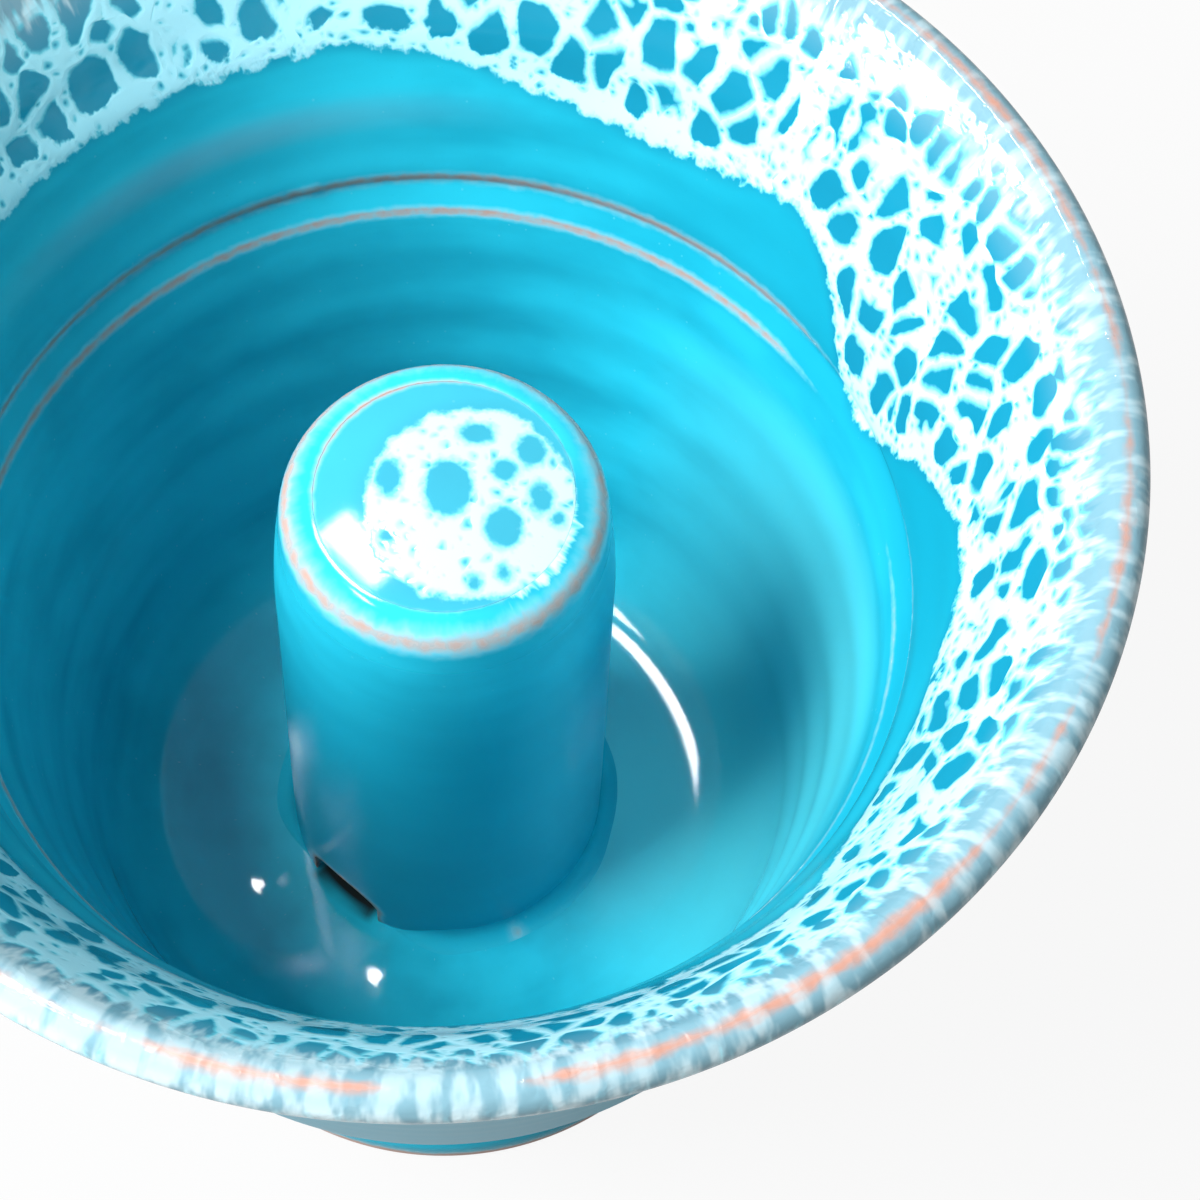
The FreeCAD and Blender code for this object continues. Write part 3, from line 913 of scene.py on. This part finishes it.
def cutPort(bm):
    bmesh.ops.recalc_face_normals(bm, faces=bm.faces)
    cutter = portCutter()
    objects = []
    for shape, name in ((bm, "column_blank"), (cutter, "port_cutter")):
        mesh = bpy.data.meshes.new(name)
        shape.to_mesh(mesh)
        objects.append(bpy.data.objects.new(name, mesh))
        bpy.context.scene.collection.objects.link(objects[-1])
    cutter.free()
    blank, tool = objects
    modifier = blank.modifiers.new("port", "BOOLEAN")
    modifier.object = tool
    modifier.operation = "DIFFERENCE"
    modifier.solver = "EXACT"
    graph = bpy.context.evaluated_depsgraph_get()
    cut = bpy.data.meshes.new_from_object(blank.evaluated_get(graph))
    bm.clear()
    bm.from_mesh(cut)
    for item in objects:
        bpy.data.objects.remove(item)
    bmesh.ops.remove_doubles(bm, verts=bm.verts, dist=0.05)
    bmesh.ops.bevel(bm, geom=[e for e in bm.edges if onPortRim(e)], offset_type="OFFSET",
                    offset=column["portRounding"], segments=3, profile=0.5, affect="EDGES",
                    clamp_overlap=True)


def seamWear(vert, away):
    # the seam round the cap shows in places only, most on the left
    size, middle, half = column["seamOpen"]
    opened = size * hump(degreesOf(vert), middle, half)
    return column["seamClosed"] - opened + abs(away) / column["seamHalf"]


def describeColumn(vert):
    out, height = vert.co.xy.length, vert.co.z
    slope = column["flowTop"] - height
    inBore = out <= 11
    marks = {}
    if height > column["poolFrom"]:
        top, fade = column["poolFades"]
        marks["lace"] = poolDepth(vert) - fade * max(top - height, 0)
    middleR, middleZ, half, varies = column["shoulder"]
    half += varies * ripple(vert, 2.0, 2.0)
    shoulder = 0.5 + math.hypot(out - middleR, height - middleZ) / half
    seam, port = glazeMarks["bare"], glazeMarks["bare"]
    if height > column["seamFrom"]:
        seam = seamWear(vert, out - recessRadius)
    fromPort = portDistance(vert.co.x, height)
    if vert.co.y < 0 and not inBore:
        closed, half = column["portWear"]
        port = closed + abs(fromPort) / half
    marks["bare"] = min(shoulder, seam, port)
    # painted shade inside the port's throat
    inPort = fromPort < column["throatReach"] and height < column["throatTop"]
    if vert.co.y < 0 and inPort:
        marks["shade"] = smooth(out, *column["throat"])
    # painted shade: the column's side drawn deeper below its shoulder
    low, high, size = column["deep"]
    marks["thin"] = 0.0 if inBore else size * smooth(slope, low, high)
    marks["satin"] = smooth(slope, *column["satin"])
    return roundFlow(vert, column["flowRadius"], slope), marks


def makeColumn():
    bm = newPiece()
    drawOutline(bm, column["outline"], column["coarse"], column["fine"])
    softenOutline(bm, column["soften"])
    spinRound(bm, column["steps"])
    cutPort(bm)
    layGlaze(bm, describeColumn)
    leanColumn(bm)
    return finishPiece(bm, "siphon_column_glazed", [laceGlaze], ["siphon_column"])


def describeCap(vert):
    x, y = vert.co.xy
    tilt = math.radians(cap["tilt"])
    depth = glazeMarks["open"]
    for cellX, cellY, width, length in cap["cells"]:
        across = (x - cellX) * math.cos(tilt) + (y - cellY) * math.sin(tilt)
        along = (y - cellY) * math.cos(tilt) - (x - cellX) * math.sin(tilt)
        reach = math.hypot(across / width, along / length) * 2
        depth = max(depth, (1 - reach) * min(width, length) / 2)
    seam = seamWear(vert, vert.co.xy.length - capRadius)
    return (x, y, column["flowTop"]), {"lace": poolDepth(vert), "open": depth + cap["opened"],
                                       "bare": seam, **cap["marks"]}


def makeCap():
    bm = newPiece()
    drawOutline(bm, cap["outline"], cap["fine"], cap["fine"])
    axisEdges = [e for e in bm.edges if all(v.co.x < 0.01 for v in e.verts)]
    bmesh.ops.delete(bm, geom=axisEdges, context="EDGES")
    softenOutline(bm, cap["soften"])
    spinRound(bm, cap["steps"])
    layGlaze(bm, describeCap)
    leanColumn(bm)
    return finishPiece(bm, "column_cap_glazed", [poolGlaze], ["column_cap"])


makeColumn()
makeCap()


# Coils of clay thumbed into the corners

coil = {
    "steps": 192,
    "fine": 0.3,
    "soften": 2,
    "swell": (3.0, 5.0, 0.12),
    "least": 0.02,             # share of a coil's size that is left in its gap
    "gapEdge": (-6, 24),       # where it starts and ends to thin, round half the gap
    "chip": (12.6, -5.3, 21.2),
    "deep": (21.3, 22.8, -0.8),
    "satin": 0.8,
    "columnOutline": [(12.6, 20.9), (14.6, 20.9), (12.6, 23.1, 2.4, 1)],
    "columnGap": 42,
    "footOutline": [(19.4, 15.6), (19.4, 12.9), (22.0, 15.6, 3.2, 1)],
}


def describeCoil(vert, chipped):
    # a knock at the front right shows the clay
    low, high, size = coil["deep"]
    away = (vert.co - Vector(coil["chip"])).length
    marks = {"bare": 0.9 + away if chipped else glazeMarks["bare"],
             "thin": size * smooth(vert.co.z, low, high), "satin": coil["satin"]}
    return roundFlow(vert, column["flowRadius"], column["flowTop"] - vert.co.z), marks


def makeCoil(name, node, corners, gap=0.0):
    # the gap leaves the port free: there the coil thins out below the floor
    bm = newPiece()
    drawOutline(bm, corners, coil["fine"], coil["fine"])
    softenOutline(bm, coil["soften"])
    spinRound(bm, coil["steps"])
    corner = Vector((corners[0][0], corners[0][1]))
    times, seed, size = coil["swell"]
    start, full = (gap / 2 + edge for edge in coil["gapEdge"])
    for vert in bm.verts:
        swell = 1 + size * ripple(vert, times, seed)
        if gap:
            away = abs(degreesOf(vert) + 90)
            grown = smooth(min(away, 360 - away), start, full)
            swell *= coil["least"] + (1 - coil["least"]) * grown
        out = corner.x + (vert.co.xy.length - corner.x) * swell
        vert.co.xy = vert.co.xy.normalized() * out
        vert.co.z = corner.y + (vert.co.z - corner.y) * swell
    layGlaze(bm, lambda vert: describeCoil(vert, gap > 0))
    if node == "column_coil":
        leanColumn(bm)
    return finishPiece(bm, name, [laceGlaze], [node])


makeCoil("column_coil_glazed", "column_coil", coil["columnOutline"], coil["columnGap"])
makeCoil("foot_coil_glazed", "foot_coil", coil["footOutline"])


# Foot

foot = {
    "steps": 240,
    "coarse": 0.6,
    "fine": 0.3,
    "soften": 2,
    "outline": [
        (19.9, 0.0, 24.0, -1), (24.1, 0.0), (25.3, 1.2, 1.2, -1), (25.3, 2.4),
        (24.1, 3.6, 1.2, -1), (19.5, 12.1, 17.0, 1), (19.5, 15.5), (13.75, 15.5),
        (13.75, 12.1),
    ],
    "glazeEdge": 1.6,
    "edgeRipple": (5.0, 6.0, 0.5),
    "edgeHalf": 0.5,
    "edgeClosed": 0.8,
    "bareInside": 19.4,        # radius within which the clay is bare
    "flowRadius": 22,
    # painted shade: the foot's turquoise drawn deeper
    "marks": {"thin": -0.8, "satin": 0.8},
}


def describeFoot(vert):
    # the hollow and the standing ring stay bare, the glaze stops short of the table
    inside = vert.co.xy.length < foot["bareInside"] or vert.co.z < 0.05
    times, seed, size = foot["edgeRipple"]
    edge = vert.co.z - foot["glazeEdge"] - size * ripple(vert, times, seed)
    bare = 0.0 if inside else max(edge / foot["edgeHalf"] + foot["edgeClosed"], 0.0)
    place = roundFlow(vert, foot["flowRadius"], column["flowTop"] - vert.co.z)
    return place, {"bare": bare, **foot["marks"]}


def makeFoot():
    bm = newPiece()
    drawOutline(bm, foot["outline"], foot["coarse"], foot["fine"])
    softenOutline(bm, foot["soften"])
    spinRound(bm, foot["steps"])
    layGlaze(bm, describeFoot)
    return finishPiece(bm, "foot_glazed", [laceGlaze], ["foot"])


makeFoot()

for name in ("standpipe", "standpipe_coil"):
    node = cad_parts[name]
    node.data.materials.clear()
    node.data.materials.append(clay)
print("hidden siphon parts in bare clay")


# Table, light and camera

studio = {
    "floorTone": (0.35, 0.35, 0.35, 1),
    "floorHalf": 3.0,          # m
    # how much of the table is a plain white glow, to the camera and in the glaze
    "glowSeen": 0.92,
    "glowMirrored": 0.15,
    "ambient": 0.46,
    "aim": (0, 0, 0.06),
    "lamps": {
        # name: (azimuth, elevation, distance m, width m, height m, watts, where it shows)
        "room_window": (235, 52, 0.60, 0.30, 0.30, 9.4, "diffuse"),
        "low_window": (231, 13, 0.60, 0.36, 0.09, 4.4, "gloss"),
        "roof_light": (171, 67, 0.60, 0.06, 0.14, 1.3, "gloss"),
        "roof_light_left": (214, 71, 0.60, 0.10, 0.04, 0.5, "gloss"),
    },
    # the camera stands over the port, 63 degrees above the table, and looks into the cup
    "cameraPlace": (70.89, -69.64, 253.32),
    "cameraTurns": [(38.5, "Z"), (26.87, "X"), (3.43, "Z")],
    "sensor": 36,
    "lens": 90,
}


def makeFloor():
    bm = bmesh.new()
    bmesh.ops.create_grid(bm, x_segments=1, y_segments=1, size=studio["floorHalf"])
    mesh = bpy.data.meshes.new("table_top")
    bm.to_mesh(mesh)
    bm.free()
    floor = bpy.data.objects.new("table_top", mesh)
    bpy.context.scene.collection.objects.link(floor)
    material, tree = newMaterial("pale_table")
    paths = addNode(tree, "LightPath").outputs
    paint = addNode(tree, "BsdfDiffuse", {"Color": studio["floorTone"]})
    glow = addNode(tree, "Emission", {"Color": (1, 1, 1, 1), "Strength": 1.0})
    seen = calc(tree, "MULTIPLY", paths["Is Glossy Ray"], studio["glowMirrored"])
    seen = calc(tree, "MULTIPLY_ADD", paths["Is Camera Ray"], studio["glowSeen"], seen)
    mixed = addNode(tree, "MixShader", {0: seen, 1: paint.outputs[0], 2: glow.outputs[0]})
    addNode(tree, "OutputMaterial", {0: mixed.outputs[0]})
    mesh.materials.append(material)
    return floor


def makeWorld():
    world = bpy.data.worlds.new("soft_room")
    bpy.context.scene.world = world
    world.use_nodes = True
    tree = world.node_tree
    tree.nodes.clear()
    paths = addNode(tree, "LightPath")
    strength = mixValue(tree, paths.outputs["Is Camera Ray"], studio["ambient"], 1.0)
    sky = addNode(tree, "Background", {"Color": (1, 1, 1, 1), "Strength": strength})
    addNode(tree, "OutputWorld", {0: sky.outputs[0]})


def makeLamp(name, azimuth, elevation, distance, width, height, watts, shows):
    across, up = math.radians(azimuth), math.radians(elevation)
    way = Vector((math.cos(across) * math.cos(up), math.sin(across) * math.cos(up), math.sin(up)))
    data = bpy.data.lights.new(name, "AREA")
    data.shape = "RECTANGLE"
    data.size, data.size_y = width, height
    data.energy = watts
    lamp = bpy.data.objects.new(name, data)
    lamp.location = Vector(studio["aim"]) + way * distance
    lamp.rotation_mode = "QUATERNION"
    lamp.rotation_quaternion = (-way).to_track_quat("-Z", "Y")
    lamp.visible_glossy = shows == "gloss"
    lamp.visible_diffuse = shows == "diffuse"
    bpy.context.scene.collection.objects.link(lamp)


def makeCamera():
    data = bpy.data.cameras.new("camera")
    data.sensor_width = studio["sensor"]
    data.lens = studio["lens"]
    data.clip_start, data.clip_end = 0.01, 10
    camera = bpy.data.objects.new("camera", data)
    stand = Matrix.Translation(Vector(studio["cameraPlace"]) * mm)
    for degrees, axis in studio["cameraTurns"]:
        stand = stand @ Matrix.Rotation(math.radians(degrees), 4, axis)
    camera.matrix_world = stand
    bpy.context.scene.collection.objects.link(camera)
    bpy.context.scene.camera = camera


makeFloor()
makeWorld()
for lampName, lampSettings in studio["lamps"].items():
    makeLamp(lampName, *lampSettings)
makeCamera()
bpy.context.scene.view_settings.view_transform = "Standard"
print("studio ready")
